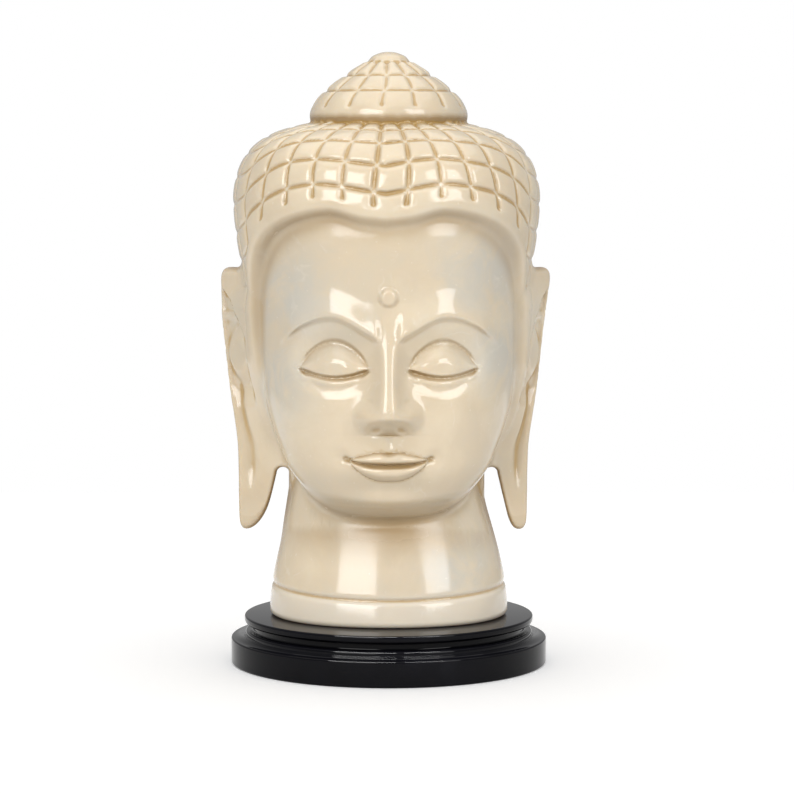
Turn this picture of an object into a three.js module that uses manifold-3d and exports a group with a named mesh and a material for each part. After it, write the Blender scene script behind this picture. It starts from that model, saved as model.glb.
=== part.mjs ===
// Carved stone head with a cap of square curls, on a turned black stone plinth.
// Millimetres, +Z up. The origin is the middle of the plinth's underside and the face looks along -Y.
// The head is one carved piece: a form function says how far a point lies outside the stone, and a
// net drawn over its surface becomes the solid. The plinth is turned from one profile.

import * as THREE from 'three';
import { surfaceNet } from 'three/addons/libs/surfaceNet.js';
import { MeshoptSimplifier } from 'three/addons/libs/meshopt_simplifier.module.js';
import { mergeVertices } from 'three/addons/utils/BufferGeometryUtils.js';
import Module from 'manifold-3d';

// Head, carved: its height from the neck's underside to the crown
const HEAD_HEIGHT = 117;

// Plinth, turned: the upper disc leaves a ledge round the neck's foot, and the lower disc a step
const PLINTH_LEDGE = 5.2;
const PLINTH_STEP = 2.8;
const PLINTH_LOWER_HEIGHT = 5.4;
const PLINTH_RING_HEIGHT = 1.45;
const PLINTH_RING_INSET = 0.2;
const PLINTH_COVE_HEIGHT = 1.5;
const PLINTH_COVE_DEPTH = 1.5;
const PLINTH_UPPER_HEIGHT = 1.65;
const PLINTH_EDGE = 0.5;
const PLINTH_SIDES = 48;

// The sizes and outlines from here on are laid out on a head about 117 high, and the finished
// carving is scaled to HEAD_HEIGHT.

// Hair: a cap cut by grooves into rows of square curls, with a smooth roll along the hairline
const CAP_CENTRE = 86;
const CAP_TOP = 17.5;
const CAP_SQUARENESS = 0.15;
const CAP_SHOULDER = 0.59;
const CAP_SETBACK = 1.6;
const CAP_LEAN = 0.45;
const CURL_ROW_HEIGHT = 5.6;
const CURL_COLUMNS = 30;
const CURL_COLUMN_START = - 4;
const CURL_SWELL = 0.16;
const CURL_SWELL_WIDTH = 1.7;
const CURL_SIDE_FADE = 0.55;
const GROOVE_DEPTH = 0.55;
const GROOVE_HALF_WIDTH = 0.58;
const HAIRLINE_ROLL = 3.2;
const HAIRLINE_ROUNDING = 2.6;
const HAIRLINE_HOLLOW = 2.4;

// Crown: a low dome of curls with a plain knob
const CROWN_BASE = 103.2;
const CROWN_SETBACK = 1.6;
const CROWN_EDGE_ARC = 16.4;
const CROWN_COLUMNS = 14;
const CROWN_ROWS = [ 6.7, 12.9 ];
const CROWN_CARVING = 0.75;
const CROWN_UNDERCUT = 0.9;
const KNOB_RADIUS = 4.4;
const KNOB_GROOVE = 0.4;

// Face, on the canon of three equal thirds: brow, nose and chin below the hairline
const FACE_HAIRLINE = 82.5;
const FACE_THIRD = 20.8;
const JAW_CLOSING = 14;
const EYE_WIDTH = 10.9;
const BROW_RELIEF = 1.4;
const LID_RELIEF = 1.7;
const NOSE_RELIEF = 5.9;
const NOSE_HALF_WIDTH = 3.1;
const LIP_RELIEF = 1.6;
const MOUTH_HALF_WIDTH = 8.4;
const URNA_RADIUS = 1.8;
const URNA_RELIEF = 0.8;

// Ears: long plates that stand out from the head, with lobes that hang free of the neck.
// The spread is how much further out than the common outline each ear's edge was left.
const EAR_TOP = 72.4;
const EAR_BOTTOM = 16.4;
const EAR_THICKNESS = 3.3;
const EAR_RELIEF = 1.15;
const LEFT_EAR_SPREAD = 1.8;
const RIGHT_EAR_SPREAD = - 0.7;
const LOBE_GAP = 2.8;
const LOBE_GAP_FLARE = 1.7;
const LOBE_GAP_TOP = 29.6;
const LOBE_GAP_CENTRE = 22;
const LOBE_TIP_ACROSS = 25.8;
const LOBE_TIP_HEIGHT = 18.6;
const LOBE_TIP_SLOPE = 1.3;

// Neck, with one incised line
const NECK_FOOT_HALF_WIDTH = 25;
const NECK_FOOT_HALF_DEPTH = 22;
const NECK_LINE_HEIGHT = 7.3;
const NECK_LINE_DIP = 1.8;
const NECK_LINE_DEPTH = 0.4;
const NECK_EDGE_RADIUS = 1.2;
const NECK_LEAN = 0.6;

// Fineness of the head's solid
const NET_STEP = 0.75;
const HEAD_TRIANGLES = 8600;

// A smooth curve through [ at, value ] pairs, read from a table
function curve( points ) {

  const samples = 400;
  const first = points[ 0 ][ 0 ];
  const last = points[ points.length - 1 ][ 0 ];
  const slopeAt = ( i ) => {

    const before = points[ Math.max( i - 1, 0 ) ];
    const after = points[ Math.min( i + 1, points.length - 1 ) ];
    return ( after[ 1 ] - before[ 1 ] ) / ( after[ 0 ] - before[ 0 ] );

  };
  const table = new Float64Array( samples + 1 );
  let span = 0;
  for ( let s = 0; s <= samples; s ++ ) {

    const at = first + ( last - first ) * s / samples;
    while ( span < points.length - 2 && at > points[ span + 1 ][ 0 ] ) span ++;
    const [ x0, y0 ] = points[ span ];
    const [ x1, y1 ] = points[ span + 1 ];
    const width = x1 - x0;
    const t = ( at - x0 ) / width;
    const bend0 = slopeAt( span ) * width;
    const bend1 = slopeAt( span + 1 ) * width;
    table[ s ] = y0 + t * ( bend0 + t * ( 3 * ( y1 - y0 ) - 2 * bend0 - bend1
      + t * ( bend0 + bend1 - 2 * ( y1 - y0 ) ) ) );

  }
  return ( at ) => {

    const place = clamp( ( at - first ) / ( last - first ), 0, 1 ) * samples;
    const low = Math.min( Math.floor( place ), samples - 1 );
    return table[ low ] + ( table[ low + 1 ] - table[ low ] ) * ( place - low );

  };

}

const { clamp, lerp, smoothstep } = THREE.MathUtils;
const bell = ( distance, width ) => Math.exp( - distance * distance / ( width * width ) );
const radians = ( degrees ) => degrees * Math.PI / 180;

// Union and intersection of two forms, with the corner between them rounded over a width
function blendUnion( a, b, width ) {

  const overlap = Math.max( width - Math.abs( a - b ), 0 ) / width;
  return Math.min( a, b ) - overlap * overlap * width / 4;

}
const blendIntersection = ( a, b, width ) => - blendUnion( - a, - b, width );

// Size of a point's oval, 1 on its outline: round at squareness 0 and boxier towards 1
function ovalNorm( a, b, squareness ) {

  const a2 = a * a;
  const b2 = b * b;
  const boxy = Math.sqrt( Math.sqrt( a2 * a2 + b2 * b2 ) );
  return ( 1 - squareness ) * Math.sqrt( a2 + b2 ) + squareness * boxy;

}

// How far a point lies outside an oval section that is halfWidth by halfDepth
function outsideOval( x, y, halfWidth, halfDepth, squareness ) {

  const norm = ovalNorm( x / halfWidth, y / halfDepth, squareness );
  if ( norm < 1e-6 ) return - Math.min( halfWidth, halfDepth );
  return Math.sqrt( x * x + y * y ) * ( 1 - 1 / norm );

}

// Neck: an oval column that flares down to a rounded lower edge
const neckWidth = curve( [ [ - 4, NECK_FOOT_HALF_WIDTH ], [ 0, NECK_FOOT_HALF_WIDTH ], [ 7.5, 24.3 ],
  [ 17.5, 22.1 ], [ 27, 20.3 ], [ 38, 20 ], [ 50, 20 ] ] );
const neckDepth = curve( [ [ - 4, NECK_FOOT_HALF_DEPTH ], [ 0, NECK_FOOT_HALF_DEPTH ], [ 7.5, 21 ],
  [ 17.5, 19.3 ], [ 27, 18.3 ], [ 38, 18.6 ], [ 50, 19 ] ] );
const neckCentre = curve( [ [ 0, 0.6 ], [ 17.5, 1.3 ], [ 27, 2.4 ], [ 50, 4 ] ] );

function neckForm( x, y, z ) {

  const below = Math.min( Math.max( NECK_EDGE_RADIUS - z, 0 ) / NECK_EDGE_RADIUS, 1 );
  const edge = NECK_EDGE_RADIUS * ( 1 - Math.sqrt( 1 - below * below ) );
  const depth = y - neckCentre( z );
  const leaned = x + NECK_LEAN * smoothstep( z, 13, 25 );
  const side = outsideOval( leaned, depth, neckWidth( z ) - edge, neckDepth( z ) - edge, 0.1 );
  const front = 0.5 - 0.5 * depth / Math.hypot( x, depth, 1e-6 );
  const line = bell( z - NECK_LINE_HEIGHT + NECK_LINE_DIP * front ** 2, GROOVE_HALF_WIDTH );
  return Math.max( side + NECK_LINE_DEPTH * line, z - 50 );

}

// Face and skull: oval sections that close to a round chin
const CHIN = FACE_HAIRLINE - 3 * FACE_THIRD;
const skullWidth = curve( [ [ 19, 19.4 ], [ 28, 19.6 ], [ 34, 21.4 ], [ 40, 23.9 ], [ 48, 26.1 ],
  [ 56, 27.2 ], [ 65, 27.5 ], [ 74, 27.4 ], [ 82, 27 ], [ 92, 24 ], [ 100, 16 ] ] );
const skullDepth = curve( [ [ 19, 13.6 ], [ 28, 14 ], [ 34, 16 ], [ 40, 20.5 ], [ 48, 24.6 ],
  [ 56, 27.2 ], [ 65, 28.6 ], [ 74, 29.2 ], [ 82, 29 ], [ 92, 26 ], [ 100, 17 ] ] );
const skullCentre = curve( [ [ 19, - 10.4 ], [ 28, - 10.6 ], [ 34, - 9.4 ], [ 40, - 5.6 ], [ 48, - 1.9 ],
  [ 56, 0.5 ], [ 65, 1.5 ], [ 74, 1.8 ], [ 82, 1.8 ], [ 100, 2 ] ] );

function skullForm( x, y, z ) {

  const lift = Math.max( z, CHIN + 0.3 );
  const drop = Math.max( CHIN + JAW_CLOSING - lift, 0 ) / JAW_CLOSING;
  const closing = Math.sqrt( 1 - drop * drop );
  const side = outsideOval( x, y - skullCentre( lift ), skullWidth( lift ) * closing,
    skullDepth( lift ) * closing, 0.24 );
  const steepness = drop / Math.max( closing, 0.2 );
  const away = side / Math.sqrt( 1 + steepness * steepness );
  return z < lift ? Math.hypot( Math.max( away, 0 ), lift - z ) : Math.max( away, z - 100 );

}

// Face: how far its features stand forward of the skull, looking straight at it
const BROW = FACE_HAIRLINE - FACE_THIRD;
const NOSE_BASE = BROW - FACE_THIRD;
const MOUTH = NOSE_BASE - FACE_THIRD / 3;
const EYE_LINE = BROW - FACE_THIRD * 0.4;
const browLine = curve( [ [ 0, BROW - 3.5 ], [ EYE_WIDTH * 0.35, BROW - 1.2 ], [ EYE_WIDTH, BROW + 2.2 ],
  [ EYE_WIDTH * 1.6, BROW + 0.6 ], [ EYE_WIDTH * 2.1, BROW - 4 ] ] );
const noseRidge = curve( [ [ NOSE_BASE - 1, 0.05 ], [ NOSE_BASE + 0.8, 0.5 ], [ NOSE_BASE + 3, 1 ],
  [ NOSE_BASE + 8, 0.8 ], [ BROW - 4, 0.36 ], [ BROW + 1, 0.12 ], [ BROW + 5, 0 ] ] );
const noseWidth = curve( [ [ NOSE_BASE - 1, 1.25 ], [ NOSE_BASE + 3, 1.15 ], [ NOSE_BASE + 9, 0.8 ],
  [ BROW - 3, 0.85 ], [ BROW + 5, 1.6 ] ] );

// Arched brow, socket and a full lowered lid with its slit
function eyeRelief( x, z ) {

  const above = z - browLine( x );
  const ends = smoothstep( x, 1, 3 ) * ( 1 - smoothstep( x, EYE_WIDTH * 1.7, EYE_WIDTH * 2.15 ) );
  let relief = BROW_RELIEF * ends * ( above > 0 ? bell( above, 3.4 ) : bell( above, 1 ) );
  const eyeX = ( x - EYE_WIDTH ) / ( EYE_WIDTH * 0.62 );
  const eyeZ = z - EYE_LINE;
  const socket = Math.hypot( ( x - EYE_WIDTH ) / ( EYE_WIDTH * 0.78 ), ( eyeZ - 1.2 ) / 6.6 );
  relief -= 1.5 * ( 1 - smoothstep( socket, 0.45, 1.15 ) );
  const almond = 1 - 0.85 * Math.min( eyeX * eyeX, 1 );
  const lid = Math.hypot( eyeX * 0.9, ( eyeZ + 0.2 ) / ( 4.5 * almond ) );
  relief += LID_RELIEF * ( 1 - smoothstep( lid, 0.25, 1.15 ) );
  relief -= 0.3 * bell( lid - 1.15, 0.17 ) * smoothstep( eyeZ, - 0.5, 2 );
  const slit = eyeZ + 2.1 - 1.5 * eyeX * eyeX;
  const slitEnds = 1 - smoothstep( Math.abs( eyeX ), 0.9, 1.12 );
  relief -= 0.75 * slitEnds * bell( slit, 0.5 );
  relief += 0.35 * slitEnds * bell( slit + 1.1, 0.7 );
  return relief;

}

// Straight nose with small wings
function noseRelief( x, z ) {

  const halfWidth = NOSE_HALF_WIDTH * noseWidth( z );
  const ridge = NOSE_RELIEF * noseRidge( z ) / ( 1 + ( x / halfWidth ) ** 3.2 );
  const wing = Math.hypot( ( x - NOSE_HALF_WIDTH * 1.4 ) / 2.3, ( z - NOSE_BASE - 2.7 ) / 2.7 );
  return ridge + 1.6 * ( 1 - smoothstep( wing, 0, 1.4 ) );

}

// Full closed lips with lifted corners
function mouthRelief( x, z ) {

  let relief = 1.1 * bell( Math.hypot( x / 11, ( z - MOUTH ) / 7 ), 1 );
  const along = Math.min( x / MOUTH_HALF_WIDTH, 1 );
  const fromLine = z - MOUTH - 1.1 * along ** 3;
  const upperHeight = 2.7 * ( 1 - along ** 1.7 ) - 0.5 * bell( x, 1.2 );
  const lowerHeight = 3.1 * ( 1 - along ** 2.2 );
  const lip = ( place, height ) => Math.max( 1 - ( place / Math.max( height * 0.62, 0.1 ) ) ** 2, 0 ) ** 0.8;
  const upper = lip( fromLine - upperHeight * 0.5, upperHeight );
  const lower = lip( fromLine + lowerHeight * 0.5, lowerHeight );
  relief += LIP_RELIEF * ( 1 - along ** 4 ) * Math.max( upper, 1.05 * lower );
  relief -= 0.7 * bell( fromLine, 0.55 ) * ( 1 - smoothstep( x, MOUTH_HALF_WIDTH, MOUTH_HALF_WIDTH * 1.15 ) );
  relief -= 0.5 * bell( Math.hypot( x - MOUTH_HALF_WIDTH - 0.8, z - MOUTH - 1.2 ), 1.6 );
  relief -= 0.4 * bell( x, 1.2 ) * bell( z - NOSE_BASE + 2, 1.9 );
  return relief;

}

function faceRelief( across, z ) {

  const x = Math.abs( across );
  const chin = 1.3 * bell( Math.hypot( x / 6.5, ( z - CHIN - 6 ) / 4.5 ), 1 );
  const underLip = 0.8 * bell( Math.hypot( x / 8, ( z - MOUTH + 5.2 ) / 1.9 ), 1 );
  const cheek = 1.1 * bell( Math.hypot( ( x - 14.5 ) / 7.5, ( z - NOSE_BASE - 3.5 ) / 7.5 ), 1 );
  const fromUrna = Math.hypot( x, z - BROW - FACE_THIRD * 0.28 );
  const urna = URNA_RELIEF * ( 1 - smoothstep( fromUrna, URNA_RADIUS - 0.8, URNA_RADIUS + 0.5 ) );
  return eyeRelief( x, z ) + noseRelief( x, z ) + mouthRelief( x, z ) + chin - underLip + cheek + urna;

}

function faceForm( x, y, z ) {

  const forward = 1 - smoothstep( y, - 14, - 5 );
  const relief = forward > 0 ? forward * faceRelief( x, z ) : 0;
  return skullForm( x, y + relief, z );

}

// Hair cap: a full round cap over sides that narrow to the nape
const capWidth = curve( [ [ 30, 19.6 ], [ 34, 20.6 ], [ 40, 22.6 ], [ 50, 25.6 ], [ 60, 28.2 ],
  [ 72.4, 30.2 ], [ 79, 31.3 ], [ CAP_CENTRE, 31.95 ], [ 92, 31.95 ] ] );
const capDepth = curve( [ [ 30, 20.5 ], [ 34, 22 ], [ 40, 24.5 ], [ 50, 28 ], [ 60, 30 ],
  [ 72.4, 30.9 ], [ 79, 31.2 ], [ CAP_CENTRE, 31.3 ], [ 92, 31.3 ] ] );

function capLevel( x, y ) {

  return ovalNorm( x / capWidth( CAP_CENTRE ), y / capDepth( CAP_CENTRE ), CAP_SQUARENESS );

}

function capForm( x, y, z ) {

  if ( z < CAP_CENTRE ) return outsideOval( x, y, capWidth( z ), capDepth( z ), CAP_SQUARENESS );
  const rise = z - CAP_CENTRE;
  const norm = ovalNorm( capLevel( x, y ), rise / CAP_TOP, CAP_SHOULDER );
  return Math.sqrt( x * x + y * y + rise * rise ) * ( 1 - 1 / norm );

}

// The hairline goes round the head: [ degrees from the front, height above its front ]
const HAIRLINE = [ [ 0, - 0.4 ], [ 10, 0.2 ], [ 22, 1.7 ], [ 37, 0.3 ], [ 50, - 2.8 ], [ 59.5, - 7 ],
  [ 66, - 12 ], [ 69.5, - 18 ], [ 71, - 26.5 ], [ 72, - 34.5 ], [ 76.5, - 40.5 ], [ 88, - 43 ],
  [ 110, - 45 ], [ 180, - 48.5 ] ];
const HAIRLINE_ARC = radians( 29.5 );
const hairlinePath = new THREE.CatmullRomCurve3( HAIRLINE.map(
  ( [ degrees, rise ] ) => new THREE.Vector3( degrees * HAIRLINE_ARC, FACE_HAIRLINE + rise, 0 )
) ).getPoints( 48 );

// Distance from the hairline along the surface, positive on the side of the hair
function fromHairline( azimuth, z ) {

  const across = azimuth * HAIRLINE_ARC;
  let nearest = Infinity;
  let side = 1;
  for ( let i = 0; i < hairlinePath.length - 1; i ++ ) {

    const start = hairlinePath[ i ];
    const end = hairlinePath[ i + 1 ];
    const runX = end.x - start.x;
    const runY = end.y - start.y;
    const fromX = across - start.x;
    const fromY = z - start.y;
    const t = clamp( ( fromX * runX + fromY * runY ) / ( runX * runX + runY * runY ), 0, 1 );
    const distance = ( fromX - t * runX ) ** 2 + ( fromY - t * runY ) ** 2;
    if ( distance < nearest ) {

      nearest = distance;
      side = runX * fromY - runY * fromX < 0 ? - 1 : 1;

    }

  }
  return side * Math.sqrt( nearest );

}

// The same distance read from a table, by whole degrees and by half millimetres up to the cap's top
const HAIRLINE_LEVELS = 2 * Math.ceil( CAP_CENTRE + CAP_TOP + 4 );
const hairlineTable = Array.from( { length: 182 }, ( _, azimuth ) => Array.from(
  { length: HAIRLINE_LEVELS + 2 }, ( _, level ) => fromHairline( azimuth, level / 2 ) ) );

function aboveHairline( azimuth, z ) {

  const level = clamp( z * 2, 0, HAIRLINE_LEVELS );
  const i = Math.floor( azimuth );
  const j = Math.floor( level );
  const low = lerp( hairlineTable[ i ][ j ], hairlineTable[ i + 1 ][ j ], azimuth - i );
  const high = lerp( hairlineTable[ i ][ j + 1 ], hairlineTable[ i + 1 ][ j + 1 ], azimuth - i );
  return lerp( low, high, level - j );

}

// Length along the cap's profile from the crown, by the angle above the cap's widest level
const capArc = ( () => {

  const steps = 180;
  const points = [];
  let length = 0;
  let before = null;
  for ( let i = 0; i <= steps; i ++ ) {

    const t = Math.PI / 2 * ( 1 - i / steps );
    const radius = 1 / ovalNorm( Math.cos( t ), Math.sin( t ), CAP_SHOULDER );
    const here = [ radius * Math.cos( t ) * capWidth( CAP_CENTRE ), radius * Math.sin( t ) * CAP_TOP ];
    if ( before ) length += Math.hypot( here[ 0 ] - before[ 0 ], here[ 1 ] - before[ 1 ] );
    before = here;
    points.push( [ - t, length ] );

  }
  return curve( points );

} )();

// The rows of curls start under the crown and drop towards the temples and the back.
// This drop is measured along the cap, by degrees from the front.
const rowDrop = curve( [ [ 0, 0.4 ], [ 22, - 1 ], [ 36, - 0.4 ], [ 46, 0.9 ], [ 58, 4 ], [ 67, 7.2 ],
  [ 80, 8.8 ], [ 110, 9.2 ], [ 180, 9.2 ] ] );

// How deep the grooves between the curls are cut at a point
function curlCut( x, y, z, azimuth, inHair ) {

  const arc = z > CAP_CENTRE
    ? capArc( - Math.atan2( ( z - CAP_CENTRE ) / CAP_TOP, capLevel( x, y ) ) )
    : capArc( 0 ) + CAP_CENTRE - z;
  const turn = Math.sign( x ) * azimuth;
  const row = ( arc - CROWN_EDGE_ARC - rowDrop( azimuth ) ) / CURL_ROW_HEIGHT
    + 0.05 * Math.sin( radians( turn * 7 ) + z * 0.2 );
  const column = ( turn - CURL_COLUMN_START ) * CURL_COLUMNS / 360
    + 0.07 * Math.sin( z * 0.24 + radians( turn * 5 ) );
  const fromRow = Math.abs( row - Math.round( row ) ) * CURL_ROW_HEIGHT;
  const columnWidth = 2 * Math.PI * Math.hypot( x, y ) / CURL_COLUMNS;
  const fromColumn = Math.abs( column - Math.round( column ) ) * columnWidth;
  const beside = 1 - CURL_SIDE_FADE * smoothstep( azimuth, 40, 80 );
  const clearOfRoll = smoothstep( inHair, HAIRLINE_ROLL - 0.6, HAIRLINE_ROLL + 0.6 );
  return beside * clearOfRoll * cellCut( fromRow, fromColumn );

}

// Grooves round a curl, whose face swells between them
function cellCut( fromRow, fromColumn ) {

  const near = ( width ) => 1 - ( 1 - bell( fromRow, width ) ) * ( 1 - bell( fromColumn, width ) );
  return GROOVE_DEPTH * near( GROOVE_HALF_WIDTH ) + CURL_SWELL * near( CURL_SWELL_WIDTH );

}

function hairForm( across, y, z ) {

  const x = across + CAP_LEAN;
  const depth = y - CAP_SETBACK;
  const cap = capForm( x, depth, z );
  if ( cap > 4 || cap < - 6 ) return cap;
  const azimuth = Math.atan2( Math.abs( x ), - depth ) * 180 / Math.PI;
  const inHair = aboveHairline( azimuth, z );
  const carved = cap + curlCut( x, depth, z, azimuth, inHair );
  return blendIntersection( carved, - inHair, HAIRLINE_ROUNDING );

}

// Crown: its reach from the middle of its foot, by the angle above its foot
const crownOutline = curve( [ [ - 24, 14 ], [ - 8, 15.6 ], [ 0, 16.3 ], [ 5, 16.35 ], [ 14, 15.65 ],
  [ 20, 15 ], [ 26, 14.35 ], [ 34, 13.6 ], [ 43, 13 ], [ 52, 12.8 ], [ 62, 12.75 ], [ 71, 13.2 ],
  [ 84, 13.8 ], [ 90, 13.85 ] ] );

function crownForm( x, y, z ) {

  const depth = y - CROWN_SETBACK;
  const rise = z - CROWN_BASE;
  const radius = Math.hypot( x, depth );
  const angle = Math.atan2( rise, radius ) * 180 / Math.PI;
  const dome = Math.hypot( radius, rise ) - crownOutline( angle );
  if ( dome > 3 ) return dome;
  const turn = Math.atan2( x, - depth ) * 180 / Math.PI;
  const column = ( turn - CURL_COLUMN_START ) * CROWN_COLUMNS / 360 + 0.05 * Math.sin( rise * 0.6 );
  const columnWidth = 2 * Math.PI * radius / CROWN_COLUMNS;
  const fromColumn = Math.abs( column - Math.round( column ) ) * columnWidth;
  const arc = CROWN_EDGE_ARC - radius * 1.02 + rise * 0.62;
  const fromRow = Math.min( ...CROWN_ROWS.map( ( row ) => Math.abs( arc - row ) ) );
  const band = smoothstep( radius, KNOB_RADIUS - 0.8, KNOB_RADIUS + 0.4 ) * smoothstep( rise, 1.8, 2.8 );
  const carving = CROWN_CARVING * band * cellCut( fromRow, fromColumn );
  const knob = KNOB_GROOVE * bell( radius - KNOB_RADIUS, 0.6 );
  return Math.max( dome + carving + knob, - 4 - rise );

}

// Ear: a plate from its root on the head to its outer edge, in level sections
const earEdge = curve( [ [ 18, 29 ], [ 20, 29.2 ], [ 23, 29.3 ], [ 30, 29.3 ], [ 38, 29.5 ], [ 47, 30.5 ],
  [ 57.4, 31.6 ], [ 64, 32.4 ], [ 71, 33.1 ], [ 73, 33.1 ] ] );
const earEdgeBack = curve( [ [ 18, 2.5 ], [ 30, 3 ], [ 45, 4.5 ], [ 60, 6 ], [ 73, 7 ] ] );
const earRoot = curve( [ [ 18, 19 ], [ 34, 19 ], [ 40, 22.5 ], [ 50, 25.4 ], [ 73, 26.2 ] ] );
const earRootBack = curve( [ [ 18, - 2.2 ], [ 30, - 2.6 ], [ 40, - 3.4 ], [ 55, - 4.4 ], [ 73, - 4 ] ] );

// Lower edge of the ear's folded top, by the share of the way from the root to the edge
const earFold = curve( [ [ 0, 54 ], [ 0.15, 56.2 ], [ 0.33, 59.3 ], [ 0.43, 61.2 ], [ 0.56, 62.6 ],
  [ 0.66, 64.6 ], [ 0.83, 66.6 ], [ 1, 68 ] ] );

// Rim, folded top that runs on down beside the face, two hollows under it with a ridge between them,
// a leaf, and a lobe with a valley down it
function earRelief( fromEdge, width, z ) {

  const along = clamp( 1 - fromEdge / width, 0, 1 );
  const inEar = smoothstep( z, 43, 48 );
  const behindRim = 1 - bell( Math.max( fromEdge - 0.4, 0 ), 0.8 );
  const strip = 1 - smoothstep( along, 0.18, 0.32 );
  const belowFold = ( 1 - smoothstep( z - earFold( along ), - 0.4, 1 ) ) * ( 1 - strip );
  const ridge = 0.5 * bell( z - 62.2, 0.8 );
  const fromLeaf = ( ( along - 0.55 ) / 0.4 ) ** 2 + Math.abs( ( z - 54.2 ) / 6 ) ** 1.5;
  const leaf = 0.9 * ( 1 - smoothstep( fromLeaf, 0.35, 1.1 ) );
  const lobe = 0.85 * ( 1 - inEar );
  const valleyEnds = smoothstep( z, 24, 32 ) * ( 1 - smoothstep( z, 46, 50 ) );
  const valley = 0.7 * valleyEnds * bell( along - 0.73, 0.1 );
  const sunken = belowFold * ( 1 - ridge - leaf - lobe ) + valley;
  return EAR_RELIEF * ( 0.4 - behindRim * sunken );

}

function earForm( across, y, z ) {

  const x = Math.abs( across );
  if ( x < 15 || z > EAR_TOP + 4 ) return 5;
  const spread = ( across < 0 ? LEFT_EAR_SPREAD : RIGHT_EAR_SPREAD ) * ( 1 - 0.45 * smoothstep( z, 60, 72 ) );
  const rootX = earRoot( z );
  const rootY = earRootBack( z );
  const runX = earEdge( z ) + spread - rootX;
  const runY = earEdgeBack( z ) - rootY;
  const width = Math.hypot( runX, runY );
  const along = ( ( x - rootX ) * runX + ( y - rootY ) * runY ) / width;
  const out = ( ( x - rootX ) * runY - ( y - rootY ) * runX ) / width;
  const face = out > 0 ? earRelief( width - along, width, z ) : 0;
  const plate = Math.abs( out ) - EAR_THICKNESS / 2 - face;
  const edges = blendIntersection( Math.abs( along - width / 2 ) - width / 2, z - EAR_TOP, 2.4 );
  const tip = ( LOBE_TIP_HEIGHT - z - LOBE_TIP_SLOPE * ( x - spread - LOBE_TIP_ACROSS ) )
    / Math.hypot( 1, LOBE_TIP_SLOPE );
  const outline = blendIntersection( blendIntersection( edges, EAR_BOTTOM - z, 3 ), tip, 3 );
  const ear = blendIntersection( plate, outline, 1.8 );

  const down = clamp( ( LOBE_GAP_TOP - z ) / 15, 0, 1 );
  const gapCentre = LOBE_GAP_CENTRE + Math.min( spread, 0 ) + 1.9 * down;
  const fromGap = Math.hypot( x - gapCentre, Math.max( z - LOBE_GAP_TOP, 0 ) );
  const gap = fromGap - LOBE_GAP / 2 - LOBE_GAP_FLARE * down;
  return blendIntersection( ear, - gap, 1.2 );

}

// The whole head in its layout size, positive outside the stone
function headForm( x, y, z ) {

  const body = blendUnion( faceForm( x, y, z ), neckForm( x, y, z ), 3 );
  const haired = blendUnion( body, hairForm( x, y, z ), HAIRLINE_HOLLOW );
  const crowned = blendUnion( haired, crownForm( x, y, z ), CROWN_UNDERCUT );
  const besideFace = smoothstep( z, 33, 44 ) * ( 1 - smoothstep( z, 64, 70 ) );
  return blendUnion( crowned, earForm( x, y, z ), 1.4 + 3.4 * besideFace );

}

// Steps a point down or up the form's slope until it lies on the surface
function settle( form, point ) {

  const reach = 0.02;
  for ( let turn = 0; turn < 2; turn ++ ) {

    const { x, y, z } = point;
    const value = form( x, y, z );
    const slope = new THREE.Vector3( form( x + reach, y, z ) - value, form( x, y + reach, z ) - value,
      form( x, y, z + reach ) - value ).divideScalar( reach );
    const stride = clamp( value / Math.max( slope.lengthSq(), 0.3 ), - 0.3, 0.3 );
    point.addScaledVector( slope, - stride );

  }

}

// The form with its value kept for a whole block where the block lies far from the surface
function inBlocks( form, size ) {

  const blocks = new Map();
  const far = size * 1.8;
  return ( x, y, z ) => {

    const i = Math.floor( x / size );
    const j = Math.floor( y / size );
    const k = Math.floor( z / size );
    const key = i + 64 + 128 * ( j + 64 + 128 * ( k + 64 ) );
    let middle = blocks.get( key );
    if ( middle === undefined ) {

      middle = form( ( i + 0.5 ) * size, ( j + 0.5 ) * size, ( k + 0.5 ) * size );
      blocks.set( key, middle );

    }
    return Math.abs( middle ) > far ? middle : form( x, y, z );

  };

}

// A closed net over the form's surface, thinned to the triangles that carry its shape
async function carve( form, box, step, triangles ) {

  const cells = box.getSize( new THREE.Vector3() ).divideScalar( step ).ceil();
  const net = surfaceNet( cells.toArray(), inBlocks( form, 4 * step ),
    [ box.min.toArray(), box.min.clone().addScaledVector( cells, step ).toArray() ] );
  const points = net.positions.map( ( position ) => new THREE.Vector3( ...position ) );
  for ( const point of points ) settle( form, point );
  const positions = new Float32Array( points.flatMap( ( point ) => point.toArray() ) );
  const indices = new Uint32Array( net.cells.flat() );
  await MeshoptSimplifier.ready;
  const [ kept ] = MeshoptSimplifier.simplify( indices, positions, 3, triangles * 3, 1 );
  const geometry = new THREE.BufferGeometry();
  geometry.setAttribute( 'position', new THREE.BufferAttribute( positions, 3 ) );
  geometry.setIndex( new THREE.BufferAttribute( kept, 1 ) );
  return geometry;

}

const wasm = await Module();
wasm.setup();

// Closed solids for joining and cutting, and back
function toSolid( geometry ) {

  const bare = geometry.clone();
  for ( const name of Object.keys( bare.attributes ) ) {

    if ( name !== 'position' ) bare.deleteAttribute( name );

  }
  const merged = mergeVertices( bare.index ? bare.toNonIndexed() : bare, 1e-5 );
  return new wasm.Manifold( new wasm.Mesh( {
    numProp: 3,
    vertProperties: new Float32Array( merged.attributes.position.array ),
    triVerts: new Uint32Array( merged.index.array ),
  } ) );

}

function toGeometry( solid ) {

  const mesh = solid.getMesh();
  const positions = new Float32Array( mesh.vertProperties );
  const geometry = new THREE.BufferGeometry();
  geometry.setAttribute( 'position', new THREE.BufferAttribute( positions, 3 ) );
  geometry.setIndex( new THREE.BufferAttribute( new Uint32Array( mesh.triVerts ), 1 ) );
  return geometry;

}

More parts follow.
